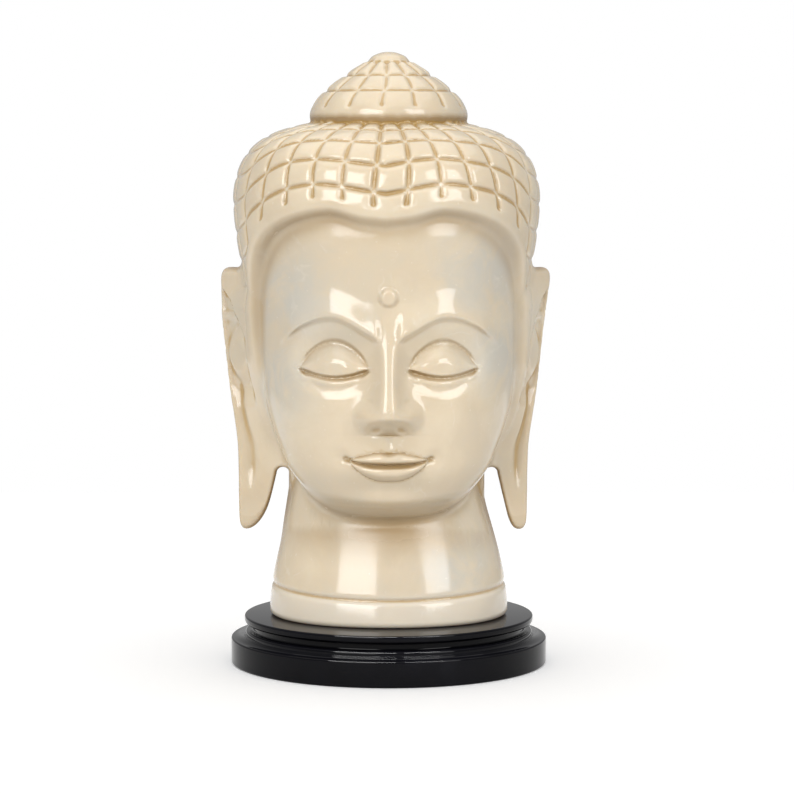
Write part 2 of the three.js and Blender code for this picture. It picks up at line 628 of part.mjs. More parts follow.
// How much the laid-out carving is scaled to reach HEAD_HEIGHT
const layoutHeight = CROWN_BASE + crownOutline( 90 );
const headScale = HEAD_HEIGHT / layoutHeight;

// Plinth: a lower disc, a ring, a cove and an upper disc with a half-round edge
const plinthUpperRadius = NECK_FOOT_HALF_WIDTH * headScale + PLINTH_LEDGE;
const plinthLowerRadius = plinthUpperRadius + PLINTH_STEP;
const plinthHeight = PLINTH_LOWER_HEIGHT + PLINTH_RING_HEIGHT + PLINTH_COVE_HEIGHT + PLINTH_UPPER_HEIGHT;

function plinthGeometry() {

  const ringRadius = plinthUpperRadius - PLINTH_RING_INSET;
  const ringTop = PLINTH_LOWER_HEIGHT + PLINTH_RING_HEIGHT;
  const coveRadius = ringRadius - PLINTH_COVE_DEPTH;
  const coveTop = ringTop + PLINTH_COVE_HEIGHT;
  const bead = PLINTH_UPPER_HEIGHT / 2;
  const outline = new THREE.Path();
  outline.moveTo( 0, 0 );
  outline.lineTo( plinthLowerRadius - PLINTH_EDGE, 0 );
  outline.lineTo( plinthLowerRadius, PLINTH_EDGE );
  outline.lineTo( plinthLowerRadius, PLINTH_LOWER_HEIGHT - PLINTH_EDGE );
  outline.lineTo( plinthLowerRadius - PLINTH_EDGE, PLINTH_LOWER_HEIGHT );
  outline.lineTo( ringRadius, PLINTH_LOWER_HEIGHT );
  outline.lineTo( ringRadius, ringTop - PLINTH_EDGE );
  outline.lineTo( ringRadius - PLINTH_EDGE, ringTop );
  outline.lineTo( coveRadius, ringTop );
  outline.lineTo( coveRadius, coveTop );
  outline.lineTo( plinthUpperRadius - bead, coveTop );
  outline.absarc( plinthUpperRadius - bead, coveTop + bead, bead, - Math.PI / 2, Math.PI / 2, false );
  outline.lineTo( 0, plinthHeight );
  const corners = outline.getPoints( 2 ).filter(
    ( point, i, all ) => i === 0 || point.distanceTo( all[ i - 1 ] ) > 1e-6 );
  const turned = new THREE.LatheGeometry( corners, PLINTH_SIDES );
  turned.rotateX( Math.PI / 2 );
  return toGeometry( toSolid( turned ) );

}

// Head: carved a little below the plinth's top, then cut flat to stand on it.
// A grain that the thinning pinches off is dropped.
async function headGeometry() {

  const below = 2;
  const reach = 38;
  const waste = 10;
  const form = ( x, y, z ) => Math.max( headForm( x, y, z ), - below - z );
  const box = new THREE.Box3( new THREE.Vector3( - reach, - reach, - 2 * below ),
    new THREE.Vector3( reach, reach, layoutHeight + below ) );
  const bodies = toSolid( await carve( form, box, NET_STEP, HEAD_TRIANGLES ) ).decompose();
  const carved = bodies.reduce( ( largest, body ) => body.volume() > largest.volume() ? body : largest );
  const cut = new THREE.BoxGeometry( 2 * reach, 2 * reach, waste );
  cut.translate( 0, 0, - waste / 2 );
  const geometry = toGeometry( carved.subtract( toSolid( cut ) ) );
  geometry.scale( headScale, headScale, headScale );
  return geometry;

}

function stone( colour, roughness ) {

  return new THREE.MeshStandardMaterial( { color: colour, roughness, metalness: 0 } );

}

const group = new THREE.Group();

const plinth = new THREE.Mesh( plinthGeometry(), stone( 0x17161b, 0.12 ) );
plinth.name = 'plinth';
group.add( plinth );

const head = new THREE.Mesh( await headGeometry(), stone( 0xe7d6b8, 0.2 ) );
head.name = 'buddha_head';
head.position.z = plinthHeight;
group.add( head );

export default group;
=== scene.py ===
# Cream stone head with a cap of square curls, on a turned black plinth, in metres, +Z up, facing -Y.
import math

import bpy
import numpy as np
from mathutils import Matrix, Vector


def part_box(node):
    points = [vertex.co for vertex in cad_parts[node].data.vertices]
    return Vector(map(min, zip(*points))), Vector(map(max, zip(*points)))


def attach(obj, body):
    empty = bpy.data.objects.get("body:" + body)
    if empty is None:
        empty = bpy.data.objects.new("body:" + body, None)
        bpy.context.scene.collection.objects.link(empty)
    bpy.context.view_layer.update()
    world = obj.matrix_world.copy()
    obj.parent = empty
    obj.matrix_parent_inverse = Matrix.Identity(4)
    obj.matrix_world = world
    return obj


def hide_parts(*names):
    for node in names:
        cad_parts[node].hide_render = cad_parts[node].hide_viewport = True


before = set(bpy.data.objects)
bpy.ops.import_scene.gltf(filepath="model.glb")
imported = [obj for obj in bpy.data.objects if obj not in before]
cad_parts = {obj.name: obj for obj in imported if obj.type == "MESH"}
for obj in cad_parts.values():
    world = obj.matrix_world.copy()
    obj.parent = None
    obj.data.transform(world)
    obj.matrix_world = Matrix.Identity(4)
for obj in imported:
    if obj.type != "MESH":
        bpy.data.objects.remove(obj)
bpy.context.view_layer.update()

import openvdb
from mathutils import Vector

# Plinth: one round of black stone, turned on a lathe and polished to a mirror.
# A thick lower disc carries a thin ring, a cove and a thin upper disc that the neck stands on.
# Its narrow edges are rounded just enough to catch a line of light.
mm = 0.001
plinth_low, plinth_high = [Vector(corner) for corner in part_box("plinth")]
plinth_height = plinth_high.z - plinth_low.z
lower_radius = (plinth_high.x - plinth_low.x) / 2
ledge = 2.8 * mm
ring_inset = 0.2 * mm
ring_thickness = 1.45 * mm
ring_bead = 0.35 * mm
cove_depth = 1.5 * mm
cove_height = 1.5 * mm
upper_radius = lower_radius - ledge
ring_radius = upper_radius - ring_inset
lower_top = 5.4 * mm
ring_top = lower_top + ring_thickness
cove_top = ring_top + cove_height
lathe_sides = 256


def rounded_outline(corners, steps=5):
    """Outline through (radius, height, rounding) corners, each corner turned as a small arc."""
    points = [Vector((corners[0][0], corners[0][1]))]
    for before, here, after in zip(corners, corners[1:], corners[2:]):
        corner = Vector(here[:2])
        back = Vector(before[:2]) - corner
        on = Vector(after[:2]) - corner
        for step in range(steps + 1) if here[2] else [0]:
            t = step / steps
            start = corner + back.normalized() * here[2]
            end = corner + on.normalized() * here[2]
            points.append(start.lerp(corner, t).lerp(corner.lerp(end, t), t))
    points.append(Vector((corners[-1][0], corners[-1][1])))
    return points


def lathe_mesh(name, outline, sides):
    """Closed mesh turned about Z from an outline that starts and ends on the axis."""
    vertices = [(0, 0, outline[0].y)]
    for point in outline[1:-1]:
        for side in range(sides):
            turn = 2 * math.pi * side / sides
            vertices.append((point.x * math.cos(turn), point.x * math.sin(turn), point.y))
    vertices.append((0, 0, outline[-1].y))
    last = len(vertices) - 1
    faces = []
    for side in range(sides):
        after = (side + 1) % sides
        faces.append((0, 1 + after, 1 + side))
        for ring in range(len(outline) - 3):
            low = 1 + ring * sides
            high = low + sides
            faces.append((low + side, low + after, high + after, high + side))
        faces.append((last - sides + side, last - sides + after, last))
    mesh = bpy.data.meshes.new(name)
    mesh.from_pydata(vertices, [], faces)
    mesh.shade_smooth()
    return mesh


def add_piece(name, mesh, node):
    """Object that stands for a CAD node."""
    piece = bpy.data.objects.new(name, mesh)
    bpy.context.scene.collection.objects.link(piece)
    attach(piece, "root")
    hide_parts(node)
    return piece


plinth_outline = rounded_outline([
    (0, 0, 0),
    (lower_radius, 0, 0.5 * mm),
    (lower_radius, lower_top, 0.4 * mm),
    (ring_radius + ring_bead, lower_top, 0),
    (ring_radius + ring_bead, lower_top + ring_bead, 0.15 * mm),
    (ring_radius, lower_top + ring_bead + 0.1 * mm, 0.1 * mm),
    (ring_radius, ring_top, 0.6 * mm),
    (ring_radius - cove_depth, ring_top, 0.4 * mm),
    (ring_radius - cove_depth, cove_top, 0.4 * mm),
    (upper_radius, cove_top, 0.8 * mm),
    (upper_radius, plinth_height, 0.45 * mm),
    (0, plinth_height, 0),
])
plinth_mesh = lathe_mesh("turned_plinth", plinth_outline, lathe_sides)
plinth = add_piece("turned_plinth", plinth_mesh, "plinth")


def linear(hex_colour):
    """sRGB hex colour as a linear colour with alpha."""
    parts = [int(hex_colour[i:i + 2], 16) / 255 for i in (1, 3, 5)]
    return tuple(c / 12.92 if c <= 0.04045 else ((c + 0.055) / 1.055) ** 2.4 for c in parts) + (1,)


def new_material(name):
    """Empty material with its nodes."""
    material = bpy.data.materials.new(name)
    material.use_nodes = True
    material.node_tree.nodes.clear()
    return material


def finish_material(piece, material):
    """Joins the shader, which is the last node added, to the output and puts the material on its piece."""
    shader = material.node_tree.nodes[-1]
    output = material.node_tree.nodes.new("ShaderNodeOutputMaterial")
    material.node_tree.links.new(shader.outputs["BSDF"], output.inputs["Surface"])
    piece.data.materials.append(material)


def add_node(tree_owner, kind, settings=None, inputs=None, links=None, stops=()):
    """Node with its settings, input values, links from (node, output) pairs and a ramp's colour stops."""
    node = tree_owner.node_tree.nodes.new(kind)
    for key, value in (settings or {}).items():
        setattr(node, key, value)
    for key, value in (inputs or {}).items():
        node.inputs[key].default_value = value
    for key, (source, output) in (links or {}).items():
        tree_owner.node_tree.links.new(source.outputs[output], node.inputs[key])
    for position, colour in stops[2:]:
        node.color_ramp.elements.new(position)
    for element, (position, colour) in zip(node.color_ramp.elements if stops else (), stops):
        element.position = position
        element.color = linear(colour)
    return node


# Polished black marble: nearly black, with faint grey clouds and a sharp wet-looking gloss.
# The specular level is turned down until the white room mirrors as darkly in it as in the real one.
black_stone = new_material("black_marble_polished")
place = add_node(black_stone, "ShaderNodeTexCoord")
cloud = add_node(black_stone, "ShaderNodeTexNoise",
                 inputs={"Scale": 1 / (12 * mm), "Detail": 6.0, "Roughness": 0.6},
                 links={"Vector": (place, "Object")})
black = add_node(black_stone, "ShaderNodeValToRGB", links={"Fac": (cloud, "Fac")},
                 stops=[(0.35, "#020203"), (0.62, "#040406"), (0.78, "#09090c")])
smear = add_node(black_stone, "ShaderNodeTexNoise", inputs={"Scale": 1 / (4 * mm), "Detail": 4.0},
                 links={"Vector": (place, "Object")})
polish = add_node(black_stone, "ShaderNodeMapRange", inputs={"To Min": 0.03, "To Max": 0.08},
                  links={"Value": (smear, "Fac")})
wave = add_node(black_stone, "ShaderNodeBump", inputs={"Strength": 0.05, "Distance": 0.05 * mm},
                links={"Height": (smear, "Fac")})
add_node(black_stone, "ShaderNodeBsdfPrincipled", inputs={"IOR": 1.5, "Specular IOR Level": 0.11},
         links={"Base Color": (black, "Color"), "Roughness": (polish, "Result"), "Normal": (wave, "Normal")})
finish_material(plinth, black_stone)

# Head: one block of cream stone, carved by hand and polished.
# Its form says how far a point lies outside the stone, in millimetres above the neck's underside,
# part by part from the neck up, and a net drawn over that form becomes the mesh.
head_low, head_high = [Vector(corner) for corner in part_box("buddha_head")]
curve_steps = 400


def curve(*points):
    """Smooth curve through (at, value) pairs, read from a table."""
    at = np.array([point[0] for point in points], float)
    value = np.array([point[1] for point in points], float)
    slope = np.empty(len(at))
    slope[1:-1] = (value[2:] - value[:-2]) / (at[2:] - at[:-2])
    slope[0] = (value[1] - value[0]) / (at[1] - at[0])
    slope[-1] = (value[-1] - value[-2]) / (at[-1] - at[-2])
    samples = np.linspace(at[0], at[-1], curve_steps + 1)
    span = np.clip(np.searchsorted(at, samples, side="left") - 1, 0, len(at) - 2)
    width = (at[1:] - at[:-1])[span]
    t = (samples - at[span]) / width
    bend0 = slope[span] * width
    bend1 = slope[span + 1] * width
    rise = value[span + 1] - value[span]
    table = value[span] + t * (bend0 + t * (3 * rise - 2 * bend0 - bend1 + t * (bend0 + bend1 - 2 * rise)))
    return lambda place: np.interp(place, samples, table)


def bell(distance, width):
    """Smooth bump, 1 at no distance and about a third at its width."""
    return np.exp(-(distance / width) ** 2)


def smoothstep(value, low, high):
    """Smooth rise from 0 at low to 1 at high."""
    t = np.clip((value - low) / (high - low), 0, 1)
    return t * t * (3 - 2 * t)


def blend_union(a, b, width):
    """Union of two forms, with the corner between them rounded over a width."""
    overlap = np.maximum(width - np.abs(a - b), 0) / width
    return np.minimum(a, b) - overlap * overlap * width / 4


def blend_intersection(a, b, width):
    """What two forms share, with the edge between them rounded over a width."""
    return -blend_union(-a, -b, width)


def oval_norm(a, b, squareness):
    """Size of a point's oval, 1 on its outline: round at squareness 0 and boxier towards 1."""
    return (1 - squareness) * np.hypot(a, b) + squareness * (a ** 4 + b ** 4) ** 0.25


def outside_oval(x, y, half_width, half_depth, squareness):
    """Distance outside an oval, true near its outline."""
    norm = np.maximum(oval_norm(x / half_width, y / half_depth, squareness), 1e-4)
    return np.hypot(x, y) * (1 - 1 / norm)


# Neck: an oval column that flares down to a rounded foot, with one incised line that dips in front.
# Like the cap, it leans a little to -X, because the hand carving isn't quite even.
neck_top = 50
neck_width = curve((-4, 25), (0, 25), (7.5, 24.3), (17.5, 22.1), (27, 20.3), (38, 20), (neck_top, 20))
neck_depth = curve((-4, 22), (0, 22), (7.5, 21), (17.5, 19.3), (27, 18.3), (38, 18.6), (neck_top, 19))
neck_centre = curve((0, 0.6), (17.5, 1.3), (27, 2.4), (neck_top, 4))
neck_squareness = 0.1
groove_half_width = 0.58
neck_line_height = 7.3
neck_line_dip = 1.8
neck_line_depth = 0.4
neck_edge_radius = 1.2
neck_lean = 0.6
neck_lean_start = 13
neck_lean_end = 25


def neck_form(x, y, z):
    """Neck with its rounded foot and its line."""
    below = np.clip(neck_edge_radius - z, 0, neck_edge_radius) / neck_edge_radius
    edge = neck_edge_radius * (1 - np.sqrt(1 - below * below))
    depth = y - neck_centre(z)
    leaned = x + neck_lean * smoothstep(z, neck_lean_start, neck_lean_end)
    side = outside_oval(leaned, depth, neck_width(z) - edge, neck_depth(z) - edge, neck_squareness)
    front = 0.5 - 0.5 * depth / (np.hypot(x, depth) + 1e-6)
    line = bell(z - neck_line_height + neck_line_dip * front ** 2, groove_half_width)
    return np.maximum(side + neck_line_depth * line, z - neck_top)


# Skull and face: oval sections that close to a round chin, and features that stand forward of them.
# The features keep to the canon of three equal thirds below the hairline, with lowered lids.
face_hairline = 82.5
face_third = 20.8
brow = face_hairline - face_third
nose_base = brow - face_third
mouth = nose_base - face_third / 3
chin = nose_base - face_third
eye_line = brow - face_third * 0.4
eye_width = 10.9
jaw_closing = 14
chin_floor = chin + 0.3
skull_top = 100
skull_squareness = 0.24
skull_width = curve((19, 19.4), (28, 19.6), (34, 21.4), (40, 23.9), (48, 26.1), (56, 27.2),
                    (65, 27.5), (74, 27.4), (82, 27), (92, 24), (skull_top, 16))
skull_depth = curve((19, 13.6), (28, 14), (34, 16), (40, 20.5), (48, 24.6), (56, 27.2),
                    (65, 28.6), (74, 29.2), (82, 29), (92, 26), (skull_top, 17))
skull_centre = curve((19, -10.4), (28, -10.6), (34, -9.4), (40, -5.6), (48, -1.9), (56, 0.5),
                     (65, 1.5), (74, 1.8), (82, 1.8), (skull_top, 2))
brow_relief = 1.4
socket_half_width = eye_width * 0.78
socket_half_height = 6.6
socket_depth = 1.5
lid_half_width = eye_width * 0.62
lid_half_height = 4.5
lid_relief = 1.7
crease_rise = 5.3
crease_depth = 0.35
slit_depth = 0.75
lower_lid_relief = 0.35
nose_relief = 5.9
nose_half_width = 3.1
nose_wing_relief = 1.6
nostril_depth = 0.7
muzzle_relief = 1.1
lip_relief = 1.6
lip_line_depth = 0.7
upper_lip_height = 2.7
lower_lip_height = 3.1
mouth_half_width = 8.4
mouth_corner_lift = 1.1
mouth_corner_depth = 0.5
lip_furrow_depth = 0.4
chin_relief = 1.3
chin_furrow_depth = 0.8
cheek_relief = 1.1
urna_radius = 1.8
urna_relief = 0.8
face_front = -14
face_side = -5


def skull_form(x, y, z):
    """Smooth head under the features."""
    lift = np.maximum(z, chin_floor)
    drop = np.maximum(chin + jaw_closing - lift, 0) / jaw_closing
    closing = np.sqrt(1 - drop * drop)
    half_width = skull_width(lift) * closing
    half_depth = skull_depth(lift) * closing
    side = outside_oval(x, y - skull_centre(lift), half_width, half_depth, skull_squareness)
    steepness = drop / np.maximum(closing, 0.2)
    away = side / np.sqrt(1 + steepness * steepness)
    return np.where(z < lift, np.hypot(np.maximum(away, 0), lift - z), np.maximum(away, z - skull_top))


brow_line = curve((0, brow - 3.5), (eye_width * 0.35, brow - 1.2), (eye_width, brow + 2.2),
                  (eye_width * 1.6, brow + 0.6), (eye_width * 2.1, brow - 4))
nose_ridge = curve((nose_base - 1, 0.05), (nose_base + 0.8, 0.5), (nose_base + 3, 1),
                   (nose_base + 8, 0.8), (brow - 4, 0.36), (brow + 1, 0.12), (brow + 5, 0))
nose_width = curve((nose_base - 1, 1.25), (nose_base + 3, 1.15), (nose_base + 9, 0.8),
                   (brow - 3, 0.85), (brow + 5, 1.6))


def brow_and_eye_relief(x, z):
    """Arched brow, socket and a full lowered lid with its crease and slit."""
    above = z - brow_line(x)
    ends = smoothstep(x, 1, 3) * (1 - smoothstep(x, eye_width * 1.7, eye_width * 2.15))
    relief = brow_relief * ends * np.where(above > 0, bell(above, 3.4), bell(above, 1))
    eye_x = (x - eye_width) / lid_half_width
    eye_z = z - eye_line
    socket = np.hypot((x - eye_width) / socket_half_width, (eye_z - 1.2) / socket_half_height)
    relief -= socket_depth * (1 - smoothstep(socket, 0.45, 1.15))
    almond = 1 - 0.85 * np.minimum(eye_x * eye_x, 1)
    lid = np.hypot(eye_x * 0.9, (eye_z + 0.2) / (lid_half_height * almond))
    relief += lid_relief * (1 - smoothstep(lid, 0.25, 1.15))
    crease = bell(eye_z + 0.2 - crease_rise * almond, 0.6)
    relief -= crease_depth * crease * (1 - smoothstep(np.abs(eye_x), 0.75, 1.05))
    slit = eye_z + 2.1 - 1.5 * eye_x * eye_x
    slit_ends = 1 - smoothstep(np.abs(eye_x), 0.9, 1.12)
    relief -= slit_depth * slit_ends * bell(slit, 0.5)
    relief += lower_lid_relief * slit_ends * bell(slit + 1.1, 0.7)
    return relief


def lip_fullness(from_middle, height):
    """Rounded cross-section of a lip, 1 at its middle and 0 past its edges."""
    return np.maximum(1 - (from_middle / np.maximum(height * 0.62, 0.1)) ** 2, 0)


def nose_and_mouth_relief(x, z):
    """Straight nose with small wings, and full closed lips with lifted corners."""
    relief = nose_relief * nose_ridge(z) / (1 + (x / (nose_half_width * nose_width(z))) ** 3.2)
    wing = np.hypot((x - nose_half_width * 1.4) / 2.3, (z - nose_base - 2.7) / 2.7)
    relief += nose_wing_relief * (1 - smoothstep(wing, 0, 1.4))
    nostril = np.hypot((x - nose_half_width * 0.75) / 1.3, (z - nose_base - 0.2) / 0.9)
    relief -= nostril_depth * bell(nostril, 1)
    relief += muzzle_relief * bell(np.hypot(x / 11, (z - mouth) / 7), 1)
    along = np.minimum(x / mouth_half_width, 1)
    from_line = z - mouth - mouth_corner_lift * along ** 3
    upper_height = upper_lip_height * (1 - along ** 1.7) - 0.5 * bell(x, 1.2)
    lower_height = lower_lip_height * (1 - along ** 2.2)
    upper = lip_fullness(from_line - upper_height * 0.5, upper_height)
    lower = lip_fullness(from_line + lower_height * 0.5, lower_height)
    relief += lip_relief * (1 - along ** 4) * np.maximum(upper ** 0.8, 1.05 * lower ** 0.8)
    line_ends = 1 - smoothstep(x, mouth_half_width, mouth_half_width * 1.15)
    relief -= lip_line_depth * bell(from_line, 0.55) * line_ends
    relief -= mouth_corner_depth * bell(np.hypot(x - mouth_half_width - 0.8, z - mouth - 1.2), 1.6)
    relief -= lip_furrow_depth * bell(x, 1.2) * bell(z - nose_base + 2, 1.9)
    return relief


def face_relief(across, z):
    """All features, with the ball of the chin, the furrow over it, the cheeks and the brow's round mark."""
    x = np.abs(across)
    relief = brow_and_eye_relief(x, z) + nose_and_mouth_relief(x, z)
    relief += chin_relief * bell(np.hypot(x / 6.5, (z - chin - 6) / 4.5), 1)
    relief -= chin_furrow_depth * bell(np.hypot(x / 8, (z - mouth + 5.2) / 1.9), 1)
    relief += cheek_relief * bell(np.hypot((x - 14.5) / 7.5, (z - nose_base - 3.5) / 7.5), 1)
    from_urna = np.hypot(x, z - brow - face_third * 0.28)
    return relief + urna_relief * (1 - smoothstep(from_urna, urna_radius - 0.8, urna_radius + 0.5))


def face_form(x, y, z):
    """Skull with the features, which fade out towards its sides."""
    forward = 1 - smoothstep(y, face_front, face_side)
    return skull_form(x, y + forward * face_relief(x, z), z)


# Hair cap: a full round cap over sides that narrow to the nape, cut into rows of square curls.
# The grooves stop short of the hairline, which is left as a smooth roll with a step to the face.
cap_centre = 86
cap_top = 17.5
cap_squareness = 0.15
cap_shoulder = 0.59
cap_setback = 1.6
cap_lean = 0.45
curl_row_height = 5.6
curl_columns = 30
curl_column_start = -4
row_waver = 0.05
column_waver = 0.07
groove_depth = 0.55
groove_start = 0.6
curl_swell = 0.16
curl_swell_width = 1.7
side_fade = 0.55
side_fade_start = 40
side_fade_end = 80
front_depth = 0.3
front_arc = 15
hairline_roll = 3.2
hairline_rounding = 2.6
hairline_hollow = 2.4
cap_width = curve((30, 19.6), (34, 20.6), (40, 22.6), (50, 25.6), (60, 28.2), (72.4, 30.2),
                  (79, 31.3), (cap_centre, 31.95), (92, 31.95))
cap_depth = curve((30, 20.5), (34, 22), (40, 24.5), (50, 28), (60, 30), (72.4, 30.9),
                  (79, 31.2), (cap_centre, 31.3), (92, 31.3))


def cap_level(x, y):
    """Size of a point's oval on the cap, seen from above."""
    return oval_norm(x / cap_width(cap_centre), y / cap_depth(cap_centre), cap_squareness)


def cap_form(x, y, z):
    """Smooth cap, before the curls are cut."""
    below = outside_oval(x, y, cap_width(z), cap_depth(z), cap_squareness)
    rise = np.maximum(z - cap_centre, 0)
    norm = np.maximum(oval_norm(cap_level(x, y), rise / cap_top, cap_shoulder), 1e-4)
    above = np.sqrt(x * x + y * y + rise * rise) * (1 - 1 / norm)
    return np.where(z < cap_centre, below, above)


# The hairline goes round the head: degrees from the front, and height above its front
hairline_arc = math.radians(29.5)
hairline_points = ((0, -0.4), (10, 0.2), (22, 1.7), (37, 0.3), (50, -2.8), (59.5, -7), (66, -12), (69.5, -18),
                   (71, -26.5), (72, -34.5), (76.5, -40.5), (88, -43), (110, -45), (180, -48.5))
hairline_steps = 6
hairline_ends = (hairline_points[0],) + hairline_points + (hairline_points[-1],)
hairline_path = []
for before, start, end, after in zip(hairline_ends, hairline_ends[1:], hairline_ends[2:], hairline_ends[3:]):
    before, start, end, after = [Vector(point) for point in (before, start, end, after)]
    for step in range(hairline_steps):
        t = step / hairline_steps
        slope_in = (end - before) / 2 * min(1, (end - start).length / max((start - before).length, 1))
        slope_out = (after - start) / 2 * min(1, (end - start).length / max((after - end).length, 1))
        bend = (1 + 2 * t) * (1 - t) ** 2 * start + t * (1 - t) ** 2 * slope_in
        hairline_path.append(bend + t * t * (3 - 2 * t) * end + t * t * (t - 1) * slope_out)
hairline_path.append(Vector(hairline_points[-1]))
hairline_path = [Vector((turn, face_hairline + rise)) for turn, rise in hairline_path]
table_top = 110
table_rows_per_mm = 2
table_size = (182, table_top * table_rows_per_mm + 2)


def hairline_distances():
    """Distance from the hairline by whole degrees and half millimetres, positive in the hair."""
    across = np.arange(table_size[0])[:, None] * hairline_arc
    height = np.arange(table_size[1])[None, :] / table_rows_per_mm
    nearest = np.full(table_size, np.inf)
    side = np.ones(table_size)
    for start, end in zip(hairline_path, hairline_path[1:]):
        run_x = (end.x - start.x) * hairline_arc
        run_y = end.y - start.y
        from_x = across - start.x * hairline_arc
        from_y = height - start.y
        t = np.clip((from_x * run_x + from_y * run_y) / (run_x * run_x + run_y * run_y), 0, 1)
        distance = (from_x - t * run_x) ** 2 + (from_y - t * run_y) ** 2
        closer = distance < nearest
        nearest = np.where(closer, distance, nearest)
        side = np.where(closer, np.where(run_x * from_y - run_y * from_x < 0, -1, 1), side)
    return side * np.sqrt(nearest)


hairline_table = hairline_distances()


def above_hairline(azimuth, z):
    """Distance from the hairline, read between the table's four nearest entries."""
    level = np.clip(z, 0, table_top) * table_rows_per_mm
    i = azimuth.astype(int)
    j = level.astype(int)
    u = azimuth - i
    v = level - j
    low = hairline_table[i, j] * (1 - u) + hairline_table[i + 1, j] * u
    high = hairline_table[i, j + 1] * (1 - u) + hairline_table[i + 1, j + 1] * u
    return low * (1 - v) + high * v


def cap_arc_table():
    """Length along the cap's profile from the crown, by the angle above its widest level."""
    angle = np.linspace(math.pi / 2, 0, 181)
    radius = 1 / oval_norm(np.cos(angle), np.sin(angle), cap_shoulder)
    out = radius * np.cos(angle) * cap_width(cap_centre)
    up = radius * np.sin(angle) * cap_top
    length = np.concatenate(([0], np.cumsum(np.hypot(np.diff(out), np.diff(up)))))
    return -angle, length


arc_angles, arc_lengths = cap_arc_table()
crown_edge_arc = 16.4
row_drop = curve((0, 0.4), (22, -1), (36, -0.4), (46, 0.9), (58, 4), (67, 7.2), (80, 8.8), (110, 9.2),
                 (180, 9.2))


def cell_cut(from_row, from_column):
    """Depth of the grooves round a curl, whose face swells between them."""
    groove = 1 - (1 - bell(from_row, groove_half_width)) * (1 - bell(from_column, groove_half_width))
    swell = 1 - (1 - bell(from_row, curl_swell_width)) * (1 - bell(from_column, curl_swell_width))
    return groove_depth * groove + curl_swell * swell


def curl_cut(x, y, z, azimuth, in_hair):
    """Grooves of the cap: rows by the length down its profile, columns by the turn round it."""
    angle = -np.arctan2(np.maximum(z - cap_centre, 0) / cap_top, cap_level(x, y))
    arc = np.interp(angle, arc_angles, arc_lengths) + np.maximum(cap_centre - z, 0)
    turn = np.sign(x) * azimuth
    row = (arc - crown_edge_arc - row_drop(azimuth)) / curl_row_height
    row += row_waver * np.sin(np.radians(turn * 7) + z * 0.2)
    column = (turn - curl_column_start) * curl_columns / 360
    column += column_waver * np.sin(z * 0.24 + np.radians(turn * 5))
    from_row = np.abs(row - np.round(row)) * curl_row_height
    from_column = np.abs(column - np.round(column)) * 2 * math.pi * np.hypot(x, y) / curl_columns
    fade = 1 + front_depth * bell(azimuth, front_arc)
    fade -= side_fade * smoothstep(azimuth, side_fade_start, side_fade_end)
    past_roll = smoothstep(in_hair, hairline_roll - groove_start, hairline_roll + groove_start)
    return fade * cell_cut(from_row, from_column) * past_roll


def hair_form(across, y, z):
    """Cap with its curls, which ends at the hairline in a smooth roll."""
    x = across + cap_lean
    depth = y - cap_setback
    azimuth = np.degrees(np.arctan2(np.abs(x), -depth))
    in_hair = above_hairline(azimuth, z)
    return blend_intersection(cap_form(x, depth, z) + curl_cut(x, depth, z, azimuth, in_hair), -in_hair,
                              hairline_rounding)


# Crown: a low dome of curls in rings, with a plain knob on top and a deep line at its foot
crown_base = 103.2
crown_setback = 1.6
crown_columns = 14
crown_rows = (6.7, 12.9)
crown_carving = 0.75
crown_undercut = 0.9
crown_root = 4
crown_waver = 0.05
knob_radius = 4.4
knob_line_depth = 0.4
crown_outline = curve((-24, 14), (-8, 15.6), (0, 16.3), (5, 16.35), (14, 15.65), (20, 15), (26, 14.35),
                      (34, 13.6), (43, 13), (52, 12.8), (62, 12.75), (71, 13.2), (84, 13.8), (90, 13.85))


def crown_form(x, y, z):
    """Dome with its curls and the line round its knob."""
    depth = y - crown_setback
    rise = z - crown_base
    radius = np.hypot(x, depth)
    dome = np.hypot(radius, rise) - crown_outline(np.degrees(np.arctan2(rise, radius)))
    turn = np.degrees(np.arctan2(x, -depth))
    column = (turn - curl_column_start) * crown_columns / 360 + crown_waver * np.sin(rise * 0.6)
    from_column = np.abs(column - np.round(column)) * 2 * math.pi * radius / crown_columns
    arc = crown_edge_arc - radius * 1.02 + rise * 0.62
    from_row = np.minimum(*[np.abs(arc - row) for row in crown_rows])
    band = crown_carving * smoothstep(radius, 3.6, 4.8) * smoothstep(rise, 1.8, 2.8)
    knob_line = knob_line_depth * bell(radius - knob_radius, 0.6)
    return np.maximum(dome + band * cell_cut(from_row, from_column) + knob_line, -crown_root - rise)


# Ears: long plates that stand out from the head, with lobes that hang free of the neck.
# Their outer faces carry a rim, a folded top, a leaf-shaped middle and a valley down the lobe.
# The ear at -X was left standing further out than the other one.
ear_top = 72.4
ear_bottom = 16.4
ear_thickness = 3.3
ear_relief_depth = 1.15
ear_spread_left = 1.8
ear_spread_right = -0.7
ear_spread_loss = 0.45
ear_corner_radius = 2.4
ear_rounding = 1.8
fold_shadow_height = 62.2
leaf_height = 54.2
leaf_half_height = 6
leaf_relief = 0.9
ear_foot = 43
ear_middle = 48
lobe_relief = 0.85
valley_depth = 0.7
lobe_gap = 2.8
lobe_gap_centre = 22
lobe_gap_flare = 1.7
lobe_gap_drift = 1.9
lobe_gap_top = 29.6
lobe_gap_length = 15
lobe_gap_rounding = 1.2
lobe_rounding = 3
lobe_tip_across = 25.8
lobe_tip_height = 18.6
lobe_tip_slope = 1.3
ear_edge = curve((18, 29), (20, 29.2), (23, 29.3), (30, 29.3), (38, 29.5), (47, 30.5),
                 (57.4, 31.6), (64, 32.4), (71, 33.1), (73, 33.1))
ear_edge_back = curve((18, 2.5), (30, 3), (45, 4.5), (60, 6), (73, 7))
ear_root = curve((18, 19), (34, 19), (40, 22.5), (50, 25.4), (73, 26.2))
ear_root_back = curve((18, -2.2), (30, -2.6), (40, -3.4), (55, -4.4), (73, -4))
